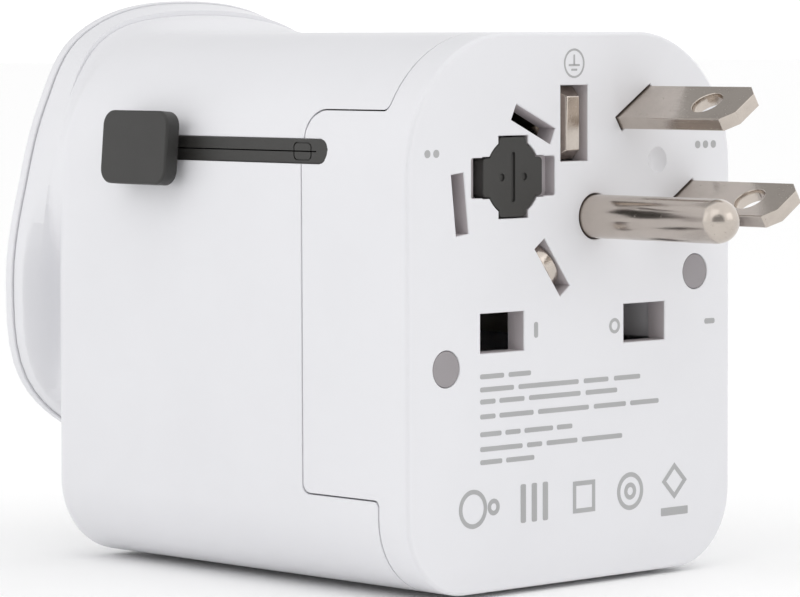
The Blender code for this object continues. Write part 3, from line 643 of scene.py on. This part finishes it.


# the walls of the plug face's openings and recesses, which get the painted shade
def paintedShadeFaces(x, depth, z):
    fromDimple = math.hypot(x - dimple["centre"][0], z - dimple["centre"][1])
    return 0.16 < depth < 2.6 and inward(x, z) > 0.7 and fromDimple > dimple["ball"]


bosses = {                                   # (radius, from, to) of the round posts for the case screws
    "front": (2.9, (1.0, 22.0)), "rear": (2.4, (22.6, 32.6)), "bore": (1.25, (20.0, 34.0)),
    "webDepths": (22.9, 32.3), "webHalf": 0.9, "webReach": 24.2,
    "rib": ((14.7, 15.7), (2.4, 9.0), (25.9, 30.2)),
}


def bossSet(kind, sides):
    radius, depths = bosses[kind]
    return [disc(centre, radius, depths, sides) for centre in screws.values()]


def makeShells():
    front = toObject("front_shell", shellOuter())
    carve(front, "DIFFERENCE", [shellHollow()])
    rear = front.copy()
    rear.data = front.data.copy()
    rear.name = "rear_shell"
    bpy.context.scene.collection.objects.link(rear)
    carve(front, "INTERSECT", [frontRegion(0.0)])
    carve(front, "UNION", bossSet("front", 32) + [box(*bosses["rib"])])
    carve(front, "DIFFERENCE", faceTools() + trackTools())
    soften(front, onFace, 0.13)
    soften(front, onSeam, 0.10)
    finishPiece(front, "casing", "white_plastic", ["plug_housing"], inner=paintedShadeFaces)
    carve(rear, "DIFFERENCE", [frontRegion(case["seamGap"])] + trackTools())
    posts, half = bossSet("rear", 32), bosses["webHalf"]
    for x, z in screws.values():
        across = sorted((x, math.copysign(bosses["webReach"], x)))
        posts.append(box(across, bosses["webDepths"], (z - half, z + half)))
    carve(rear, "UNION", posts)
    carve(rear, "DIFFERENCE", bossSet("bore", 24))
    soften(rear, onSeam, 0.10)
    finishPiece(rear, "casing", "white_plastic", ["rear_housing"], inner=paintedShadeFaces)


cover = {
    "gap": 0.12, "backEdge": 0.2, "frontEdge": 0.6, "cup": (61.2, 65.4), "cupWall": 0.8,
    "behind": (60.0, 68.0),
    "pinHole": (9.0, 4.4), "pinX": 9.9, "bladeHole": (1.9, 7.4), "bladeX": 6.35, "holeZ": 33.0,
    "port": (13.7, 6.0), "portX": 7.75, "portZ": 18.7, "earthHole": (4.4, 8.0), "earthZ": 55.2,
    "roundHole": 2.7, "roundZ": 44.6, "lamp": 1.2, "dishEdge": 0.16,
}


def rim(inset):
    return lambda x, z: atRadius(x, z, flangeRadius(polar(x, z)[0]) - inset)


def onDishRim(x, depth, z):
    degrees, reach = polar(x, z)
    inDish = math.hypot(x, z - end["dish"][1]) < end["dishRadius"] + 0.01
    return abs(depth - end["depth"]) < 0.003 and reach < flangeRadius(degrees) - 1.3 and inDish


def makeCover():
    depth, start = end["depth"], end["shellEnd"] + cover["gap"]
    back, front, behind = cover["backEdge"], cover["frontEdge"], cover["behind"]
    stages = []
    for degrees in (90, 60, 30, 0):
        a = math.radians(degrees)
        stages.append((start + back * (1 - math.sin(a)), rim(back * (1 - math.cos(a)))))
    for degrees in (90, 72, 54, 36, 18, 0):
        a = math.radians(degrees)
        stages.append((depth - front * (1 - math.cos(a)), rim(front * (1 - math.sin(a)))))
    item = toObject("end_cover", drawBody(0.0, stages))
    carve(item, "UNION", [disc(end["dish"], end["dishRadius"] + cover["cupWall"], cover["cup"], 96)])
    tools = [disc(end["dish"], end["dishRadius"], (depth - end["dishDepth"], behind[1]), 128)]
    for side in (-1, 1):
        pin = rectangle(*cover["pinHole"], (side * cover["pinX"], cover["holeZ"]))
        blade = rectangle(*cover["bladeHole"], (side * cover["bladeX"], cover["holeZ"]))
        port = rectangle(*cover["port"], (side * cover["portX"], cover["portZ"]))
        tools += [plate(pin, *behind, 0.3, 3), plate(blade, *behind, 0.2, 3), plate(port, *behind, 0.5, 4)]
    tools.append(plate(rectangle(*cover["earthHole"], (0, cover["earthZ"])), *behind, 0.3, 3))
    tools.append(disc((0, cover["roundZ"]), cover["roundHole"], behind))
    tools.append(disc((0, cover["portZ"]), cover["lamp"], behind, 32))
    carve(item, "DIFFERENCE", tools)
    soften(item, onDishRim, cover["dishEdge"])
    finishPiece(item, "casing", "white_plastic", ["socket_cover"])


makeShells()
print("casing shells")
makeCover()
print("socket cover")


# Knobs and their strips

knobSize = {
    "length": 11.2, "height": 8.2, "thick": 1.9, "corner": 1.7, "edge": 0.3, "backEdge": 0.2, "press": 1.1,
    "lean": 5.0, "stem": (4.8, 0.07), "stemStart": 22.6, "tail": 0.45, "tailStart": 20.1, "tailLength": 3.3,
}


def spanned(middle, length, z, height):
    return [(middle - length / 2, z - height / 2), (middle + length / 2, z - height / 2),
            (middle + length / 2, z + height / 2), (middle - length / 2, z + height / 2)]


def makeKnob(group, front, side, z):
    middle = front + slide["knobBehind"]
    inner = side * (case["width"] / 2 + knobSize["press"])
    outer = inner + side * knobSize["thick"]
    outline = spanned(middle, knobSize["length"], z, knobSize["height"])
    bm = sidePlate(outline, inner, outer, knobSize["corner"], 8)
    rim = [e for e in bm.edges if all(abs(v.co.x / mm - outer) < 0.01 for v in e.verts)]
    rounded(bm, rim, knobSize["edge"], 4)
    inside = [e for e in bm.edges if all(abs(v.co.x / mm - inner) < 0.01 for v in e.verts)]
    rounded(bm, inside, knobSize["backEdge"], 2)
    if z == slide["upperZ"]:                 # the upper knobs lean back with the rounded corner
        lean = Matrix.Rotation(math.radians(side * -knobSize["lean"]), 3, "Y")
        bmesh.ops.rotate(bm, verts=bm.verts, cent=at((inner + outer) / 2, middle, z), matrix=lean)
    cap = toObject(f"{group}_knob_cap", bm)
    finishPiece(cap, f"{group}_button", "dark_plastic", [f"{group}_knob"], angle=35)
    length, height = knobSize["stem"]
    stem = sidePlate(spanned(middle, length, z, height), side * knobSize["stemStart"], inner - side * 0.02)
    tail = bmesh.new()
    bmesh.ops.create_circle(tail, cap_ends=True, radius=knobSize["tail"] * mm, segments=20)
    bmesh.ops.rotate(tail, verts=tail.verts, cent=(0, 0, 0), matrix=Matrix.Rotation(math.pi / 2, 3, "Y"))
    bmesh.ops.translate(tail, verts=tail.verts, vec=at(side * knobSize["tailStart"], middle, z))
    pull(tail, tail.faces[:], (side * knobSize["tailLength"], 0, 0))
    bmesh.ops.recalc_face_normals(tail, faces=tail.faces)
    shaft = carve(toObject(f"{group}_knob_shaft", stem), "UNION", [tail])
    finishPiece(shaft, f"{group}_button", "dark_plastic", [f"{group}_knob_stem"])


strip = {
    "back": (28.5, 38.0, 4.2), "backX": (21.5, 22.4),                # middle, length and height; from and to
    "landX": (22.2, 24.86), "half": 1.34, "corner": 1.31, "edge": 0.12,
    "slit": (29.2, 29.6, 0.14), "slitX": (20.7, 26.0),
    "seat": 16.6, "seatSize": (2.9, 2.0), "seatX": (24.7, 25.4), "seatCorner": 0.6, "groove": 0.16,
}


def makeStrip(group, side, z):
    # the dark strip that fills a side slot, with a slit for the knob's shaft and a latch seat near its front
    middle, length, height = strip["back"]
    start, finish = strip["backX"]
    back = sidePlate(spanned(middle, length, z, height), side * start, side * finish)
    item = toObject(f"{group}_track_strip", back)
    middle = (slide["trackStart"] + slide["trackEnd"]) / 2
    length = slide["trackEnd"] - slide["trackStart"] - 0.02
    start, finish = strip["landX"]
    outline = spanned(middle, length, z, 2 * strip["half"])
    land = sidePlate(outline, side * start, side * finish, strip["corner"], 12)
    outer = [e for e in land.edges if all(abs(abs(v.co.x / mm) - finish) < 0.01 for v in e.verts)]
    rounded(land, outer, strip["edge"], 2)
    carve(item, "UNION", [land])
    middle, length, height = strip["slit"]
    start, finish = strip["slitX"]
    carve(item, "DIFFERENCE", [sidePlate(spanned(middle, length, z, height), side * start, side * finish)])
    width, height = strip["seatSize"]
    start, finish = strip["seatX"]
    outline = spanned(strip["seat"], width, z, height)
    ring = toObject("seat", sidePlate(outline, side * start, side * finish, strip["seatCorner"], 6))
    inset = 2 * strip["groove"]
    inner = spanned(strip["seat"], width - inset, z, height - inset)
    carve(ring, "DIFFERENCE", [sidePlate(inner, side * 24.0, side * 26.0, strip["seatCorner"] - 0.15, 6)])
    tool = bmesh.new()
    tool.from_mesh(ring.data)
    bpy.data.objects.remove(ring)
    carve(item, "DIFFERENCE", [tool])
    finishPiece(item, "casing", "black_plastic", [f"{group}_track_liner"])


for group, front, side, z in (("au", slide["inDepth"], -1, slide["upperZ"]),
                              ("us", slide["outDepth"], 1, slide["upperZ"]),
                              ("uk", slide["inDepth"], 1, slide["lowerZ"])):
    makeKnob(group, front, side, z)
    makeStrip(group, side, z)
print("knobs and strips")


# Plug pins

def turnAndPlace(bm, x, z, degrees):
    turn = Matrix.Rotation(-math.radians(degrees), 3, "Y")
    bmesh.ops.rotate(bm, verts=bm.verts, cent=(0, 0, 0), matrix=turn)
    bmesh.ops.translate(bm, verts=bm.verts, vec=(x * mm, 0, z * mm))


def level(edge):
    return abs(edge.verts[0].co.z - edge.verts[1].co.z) < tinyEdge / 10


def makeBlade(name, pin, root, tip, look, corner):
    (x, z, degrees), (width, thick) = pins[pin], look["size"]
    half, hole, back = width / 2, look.get("holeRadius"), look.get("holeBack")
    bm = bmesh.new()
    corners = ((-half, root), (half, root), (half, tip), (-half, tip))
    bm.faces.new([bm.verts.new(at(a, d, -thick / 2)) for a, d in corners])
    ends = [v for v in bm.verts if v.co.y < at(0, (root + tip) / 2, 0).y]
    rounded(bm, ends, corner, 1 if hole else 8, "VERTICES")
    pull(bm, bm.faces[:], (0, 0, thick))
    bmesh.ops.recalc_face_normals(bm, faces=bm.faces)
    longEdges = [e for e in bm.edges if level(e) and abs(e.verts[0].co.x - e.verts[1].co.x) < tinyEdge / 10
                 and e.calc_length() > 5 * mm]
    rounded(bm, longEdges, 0.14, 2)
    reach = at(0, tip + corner + 0.02, 0).y
    nose = [e for e in bm.edges if level(e) and all(v.co.y < reach for v in e.verts)
            and abs(abs(e.verts[0].co.z) / mm - thick / 2) < 0.001]
    rounded(bm, nose, look["tip"], 2)
    item = toObject(name, bm)
    if hole:
        tool = bmesh.new()
        bmesh.ops.create_circle(tool, cap_ends=True, radius=hole * mm, segments=48)
        bmesh.ops.translate(tool, verts=tool.verts, vec=at(0, tip + back, -3))
        pull(tool, tool.faces[:], (0, 0, 6))
        bmesh.ops.recalc_face_normals(tool, faces=tool.faces)
        carve(item, "DIFFERENCE", [tool])
        soften(item, lambda a, d, c: math.hypot(a, d - tip - back) < hole + 0.05, 0.14, 3)
    bm = bmesh.new()
    bm.from_mesh(item.data)
    turnAndPlace(bm, x, z, degrees)
    bm.to_mesh(item.data)
    bm.free()
    return item


def makeSquarePin(name, pin, size, root, tip, look):
    # a UK pin: its last stretch narrows on all four sides to a small flat end
    x, z, _ = pins[pin]
    shoulder, narrow = tip + look["taper"], look["narrow"] * mm
    bm = plate(rectangle(*size), root, shoulder)
    front = [f for f in bm.faces if all(abs(v.co.y - at(0, shoulder, 0).y) < tinyEdge for v in f.verts)]
    moved = {v for f in pull(bm, front, (0, -look["taper"], 0)) for v in f.verts}
    for vertex in moved:
        vertex.co.x -= math.copysign(narrow, vertex.co.x)
        vertex.co.z -= math.copysign(narrow, vertex.co.z)
    bmesh.ops.recalc_face_normals(bm, faces=bm.faces)
    rounded(bm, bm.edges[:], 0.16, 2)
    bmesh.ops.translate(bm, verts=bm.verts, vec=(x * mm, 0, z * mm))
    return toObject(name, bm)


def makeRoundPin(name, pin, radius, root, tip):
    x, z, _ = pins[pin]
    bm = bmesh.new()
    last = bm.verts.new(at(0, root, 0))
    profile = [(root, radius - 0.1), (root - 0.1, radius)]
    for degrees in range(0, 90, 6):
        a = math.radians(degrees)
        profile.append((tip + radius * (1 - math.sin(a)), radius * math.cos(a)))
    for depth, out in profile + [(tip, 0.0)]:
        vertex = bm.verts.new(at(out, depth, 0))
        bm.edges.new((last, vertex))
        last = vertex
    bmesh.ops.spin(bm, geom=bm.verts[:] + bm.edges[:], cent=at(0, 0, 0), axis=(0, 1, 0), dvec=(0, 0, 0),
                   angle=math.tau, steps=64, use_merge=True)
    bmesh.ops.remove_doubles(bm, verts=bm.verts, dist=0.001 * mm)
    bmesh.ops.recalc_face_normals(bm, faces=bm.faces)
    bmesh.ops.translate(bm, verts=bm.verts, vec=(x * mm, 0, z * mm))
    return toObject(name, bm)


joinGap = 0.3                                # between a pin and the plate that carries it
for pin, node in (("auLive", "au_live_blade"), ("auNeutral", "au_neutral_blade"),
                  ("auEarth", "au_earth_blade")):
    look = blades["au"]
    root = slide["inDepth"] - joinGap
    earth = pin == "auEarth"
    tip = root - look["earthLength" if earth else "length"] - slide["outDepth"] + joinGap
    corner = look["earthCorner" if earth else "corner"]
    item = makeBlade(node.replace("blade", "plate"), pin, root, tip, look, corner)
    finishPiece(item, "au_group", "plated_metal", [node], angle=25)
for pin, node in (("usLive", "us_live_blade"), ("usNeutral", "us_neutral_blade")):
    look = blades["us"]
    item = makeBlade(node.replace("blade", "plate"), pin, slide["outDepth"] - joinGap, -look["length"], look,
                     look["corner"])
    finishPiece(item, "us_group", "plated_metal", [node], angle=25)
look = blades["us"]
item = makeRoundPin("us_earth_rod", "usEarth", look["rodRadius"], slide["outDepth"] - joinGap,
                    -look["rodLength"])
finishPiece(item, "us_group", "plated_metal", ["us_earth_pin"])
for pin, node in (("ukLive", "uk_live_pin"), ("ukNeutral", "uk_neutral_pin"), ("ukEarth", "uk_earth_pin")):
    look = blades["uk"]
    earth = pin == "ukEarth"
    tip = slide["inDepth"] - slide["outDepth"] - (look["earthLength"] if earth else look["length"])
    item = makeSquarePin(node.replace("pin", "prong"), pin, look["earthSize"] if earth else look["size"],
                         slide["inDepth"] - joinGap, tip, look)
    finishPiece(item, "uk_group", "plated_metal", [node], angle=25)
print("pins")


# Fuse cap, screw plugs and the printed marks

fuseLid = {
    "depths": (0.1, 1.9), "corner": 0.5, "edge": 0.16, "post": 3.5, "postDepths": (1.5, 5.0),
    "groove": (0.62, 5.4), "grooveDepth": 0.32, "dotX": 1.7, "dot": 0.42, "dotDepth": 0.3,
}
screwCap = {"radius": 1.94, "depths": (0.08, 2.4), "edge": 0.08}


def edgesAt(bm, depth):
    return [e for e in bm.edges if all(abs(v.co.y - at(0, depth, 0).y) < tinyEdge for v in e.verts)]


def fromFuse(x, z):
    return math.hypot(x - fuse[0], z - fuse[1])


def makeFuseCap():
    front = fuseLid["depths"][0]
    bm = plate(lobedOutline(), *fuseLid["depths"])
    upright = [e for e in bm.edges if abs(e.verts[0].co.y - e.verts[1].co.y) > 1 * mm
               and fromFuse(e.verts[0].co.x / mm, e.verts[0].co.z / mm) > 4.5]    # the lobes' own corners
    rounded(bm, upright, fuseLid["corner"], 5)
    rounded(bm, edgesAt(bm, front), fuseLid["edge"], 3)
    cap = carve(toObject("fuse_lid", bm), "UNION", [disc(fuse, fuseLid["post"], fuseLid["postDepths"])])
    groove = plate(rectangle(*fuseLid["groove"], fuse), -1.0, fuseLid["grooveDepth"], 0.28, 6)
    dots = [disc((fuse[0] + side * fuseLid["dotX"], fuse[1]), fuseLid["dot"], (-1.0, fuseLid["dotDepth"]), 24)
            for side in (-1, 1)]
    carve(cap, "DIFFERENCE", [groove, *dots])
    soften(cap, lambda x, d, z: abs(d - front) < 0.01 and fromFuse(x, z) < 3.3, 0.05)
    finishPiece(cap, "fuse_drawer", "black_plastic", ["fuse_cap"])


def makeScrewPlug(label):
    bm = disc(screws[label], screwCap["radius"], screwCap["depths"], 64)
    rounded(bm, edgesAt(bm, screwCap["depths"][0]), screwCap["edge"], 2)
    finishPiece(toObject(f"screw_cap_{label}", bm), "casing", "grey_plastic", [f"screw_plug_{label}"])


marks = {
    "proud": 0.02, "bar": 0.52,
    "rows": ((23.3, ((-14.5, -10.9), (-10.2, -6.8))),
             (21.9, ((-14.5, -9.4), (-8.7, 0.6), (1.4, 5.3), (6.2, 10.4))),
             (20.6, ((-14.5, -12.2), (-11.6, -7.8), (-7.1, 0.9), (1.7, 6.7))),
             (19.0, ((-14.5, -12.2), (-11.6, -6.4), (-5.7, 2.2), (3.0, 8.1), (8.8, 13.4))),
             (17.1, ((-14.5, -11.3), (-10.7, -8.4), (-7.8, -3.4), (-2.8, -0.4))),
             (15.5, ((-14.5, -8.1), (-7.4, -5.1), (-4.4, 0.4), (1.1, 7.5))),
             (14.1, ((-14.5, -11.2), (-10.6, -6.3)))),
    "iconZ": 9.2, "iconX": (-14.4, -6.3, 1.45, 8.8, 16.0), "iconSize": 2.1, "line": 0.5,
    "ground": (-0.05, 56.6), "groundLine": 0.22,
    "dot": 0.85, "dots": ((-22.2, 47.25), (-20.9, 47.25), (19.8, 47.35), (21.1, 47.35), (22.4, 47.35)),
    "dashes": ((1.7, 0.6, (21.8, 27.45)), (0.6, 1.7, (-6.0, 27.9))), "ringAt": (6.3, 27.7),
}


def inkPlate(points, radius=0.0, hollow=0.0):
    bm = bmesh.new()
    bm.faces.new([bm.verts.new(at(x, 0.0, z)) for x, z in points])
    if radius:
        rounded(bm, bm.verts[:], radius, 6, "VERTICES")
    if hollow:
        bm.faces.ensure_lookup_table()
        middle = bm.faces[0]
        bm.normal_update()
        bmesh.ops.inset_region(bm, faces=[middle], thickness=hollow * mm, use_boundary=True,
                               use_even_offset=True)
        bmesh.ops.delete(bm, geom=[middle], context="FACES_ONLY")
    pull(bm, bm.faces[:], (0, -marks["proud"], 0))
    bmesh.ops.recalc_face_normals(bm, faces=bm.faces)
    return bm


def inkRing(centre, radius, line, sides=48):
    bm = bmesh.new()
    for size in (radius, radius - line):
        bmesh.ops.create_circle(bm, cap_ends=False, radius=size * mm, segments=sides)
    bmesh.ops.bridge_loops(bm, edges=bm.edges[:])
    bmesh.ops.rotate(bm, verts=bm.verts, cent=(0, 0, 0), matrix=Matrix.Rotation(math.pi / 2, 3, "X"))
    bmesh.ops.translate(bm, verts=bm.verts, vec=at(centre[0], 0.0, centre[1]))
    pull(bm, bm.faces[:], (0, -marks["proud"], 0))
    bmesh.ops.recalc_face_normals(bm, faces=bm.faces)
    return bm


def makeMarks():
    # plain bars, rings and dots in place of the printing
    drawn = []
    for z, words in marks["rows"]:
        for start, finish in words:
            middle = ((start + finish) / 2, z)
            drawn.append(inkPlate(rectangle(finish - start, marks["bar"], middle), 0.2))
    size, line, z = marks["iconSize"], marks["line"], marks["iconZ"]
    xs = marks["iconX"]
    drawn += [inkRing((xs[0] - 1.2, z), size, line), inkRing((xs[0] + 1.9, z), 0.9, line)]
    for dx in (-1.7, 0.0, 1.7):
        drawn.append(inkPlate(rectangle(0.8, 2 * size, (xs[1] + dx, z)), 0.2))
    drawn.append(inkPlate(rectangle(3.5, 3.5, (xs[2], z)), 0.0, line))
    drawn += [inkRing((xs[3], z), size, line), inkRing((xs[3], z), 0.95, line)]
    drawn.append(inkPlate(rectangle(2.9, 2.9, (xs[4], z + 0.6), 45), 0.0, line))
    drawn.append(inkPlate(rectangle(4.4, 0.9, (xs[4], z - 2.8)), 0.1))
    x, z, line = *marks["ground"], marks["groundLine"]
    drawn.append(inkRing((x, z), 1.6, line))
    drawn.append(inkPlate(rectangle(line, 1.1, (x, z + 0.4)), 0.05))
    drawn.append(inkPlate(rectangle(1.7, line, (x, z - 0.2)), 0.05))
    drawn.append(inkPlate(rectangle(0.9, line, (x, z - 0.7)), 0.05))
    for centre in marks["dots"]:
        drawn.append(inkPlate(rectangle(marks["dot"], marks["dot"], centre), 0.4))
    for width, height, centre in marks["dashes"]:
        drawn.append(inkPlate(rectangle(width, height, centre), 0.25))
    drawn.append(inkRing(marks["ringAt"], 0.85, 0.36))
    whole = bmesh.new()
    for bm in drawn:
        mesh = bpy.data.meshes.new("mark")
        bm.to_mesh(mesh)
        bm.free()
        whole.from_mesh(mesh)
        bpy.data.meshes.remove(mesh)
    bmesh.ops.translate(whole, verts=whole.verts, vec=(0, -0.004 * mm, 0))
    ink = mouldedPlastic("greyInk", (0.41, 0.41, 0.415), 0.5, 0.2, 5200, 0.06)
    finishPiece(toObject("face_marks", whole), "casing", "grey_plastic", [], ink)


makeFuseCap()
for label in screws:
    makeScrewPlug(label)
makeMarks()
print("fuse lid, screw caps and marks")


# Room, light and camera

view = {
    "spot": (-0.3190, -0.3389, 0.06026),     # metres from the frame's origin
    "turn": 0.7586, "dip": 0.0657, "roll": 0.0035,
    "lens": 183.6, "sensor": 36.0,
}
lights = {                                   # (place, size, power)
    "keySoft": ((-0.45, -0.25, 0.55), (0.5, 0.5), 0.25),
    "sideSoft": ((-0.5, 0.25, 0.25), (0.3, 0.5), 0.12),
    "faceSoft": ((0.25, -0.6, 0.30), (0.4, 0.3), 0.2),
}


def makeCamera():
    data = bpy.data.cameras.new("camera")
    data.sensor_width, data.lens = view["sensor"], view["lens"]
    data.clip_start, data.clip_end = 0.01, 20
    camera = bpy.data.objects.new("camera", data)
    bpy.context.collection.objects.link(camera)
    turned = (Matrix.Rotation(view["roll"], 3, "Z") @ Matrix.Rotation(view["dip"], 3, "X")
              @ Matrix.Rotation(view["turn"], 3, "Y"))
    right, up, back = [Vector((row[0], -row[2], row[1])) for row in turned]
    facing = Matrix((right, up, back)).transposed().to_4x4()
    camera.matrix_world = Matrix.Translation(view["spot"]) @ facing
    bpy.context.scene.camera = camera


def makeLight(name, spot, size, power):
    aim = (0, 0, 0.03)                       # the middle of the case
    data = bpy.data.lights.new(name, "AREA")
    data.shape, data.size, data.size_y = "RECTANGLE", *size
    data.energy = power
    light = bpy.data.objects.new(name, data)
    bpy.context.collection.objects.link(light)
    light.location = spot
    light.rotation_euler = (Vector(aim) - Vector(spot)).to_track_quat("-Z", "Y").to_euler()


studio = {
    "open": 1.14, "floor": (1.0, 1.0, 1.0), "floorDrop": 0.0006,
    "flags": (((0.24, 0.76, 0.62), 0.78, 0.96, 0.40),                # dim zones: towards, edge, core, how dim
              ((-0.66, -0.74, 0.12), 0.80, 0.90, 0.30)),
}


def makeRoom():
    bm = bmesh.new()
    bmesh.ops.create_grid(bm, x_segments=1, y_segments=1, size=6.0)
    mesh = bpy.data.meshes.new("floor")
    bm.to_mesh(mesh)
    bm.free()
    floor = bpy.data.objects.new("floor", mesh)
    bpy.context.collection.objects.link(floor)
    floor.location.z = -studio["floorDrop"]
    paint = mouldedPlastic("paleFloor", studio["floor"], 0.8, 0.1, 300, 0.0)
    mesh.materials.append(paint.material)
    world = bpy.data.worlds.new("studio")
    world.use_nodes = True
    nodes, links = world.node_tree.nodes, world.node_tree.links
    ways = nodes.new("ShaderNodeTexCoord")
    strength = None
    for facing, near, far, dim in studio["flags"]:
        aim = nodes.new("ShaderNodeVectorMath")
        aim.operation = "DOT_PRODUCT"
        links.new(ways.outputs["Generated"], aim.inputs[0])
        aim.inputs[1].default_value = Vector(facing).normalized()
        shadow = nodes.new("ShaderNodeMapRange")
        shadow.interpolation_type = "SMOOTHSTEP"
        for key, value in {"From Min": near, "From Max": far, "To Min": 1.0, "To Max": dim}.items():
            shadow.inputs[key].default_value = value
        links.new(aim.outputs["Value"], shadow.inputs["Value"])
        joined = nodes.new("ShaderNodeMath")
        joined.operation = "MULTIPLY"
        links.new(shadow.outputs[0], joined.inputs[0])
        joined.inputs[1].default_value = studio["open"]
        if strength:
            links.new(strength, joined.inputs[1])
        strength = joined.outputs[0]
    links.new(strength, nodes["Background"].inputs["Strength"])
    nodes["Background"].inputs["Color"].default_value = (1.0, 1.0, 1.0, 1.0)
    bpy.context.scene.world = world
    bpy.context.scene.view_settings.view_transform = "Standard"


makeRoom()
makeCamera()
for name, (spot, size, power) in lights.items():
    makeLight(name, spot, size, power)
print("room, lights and camera")
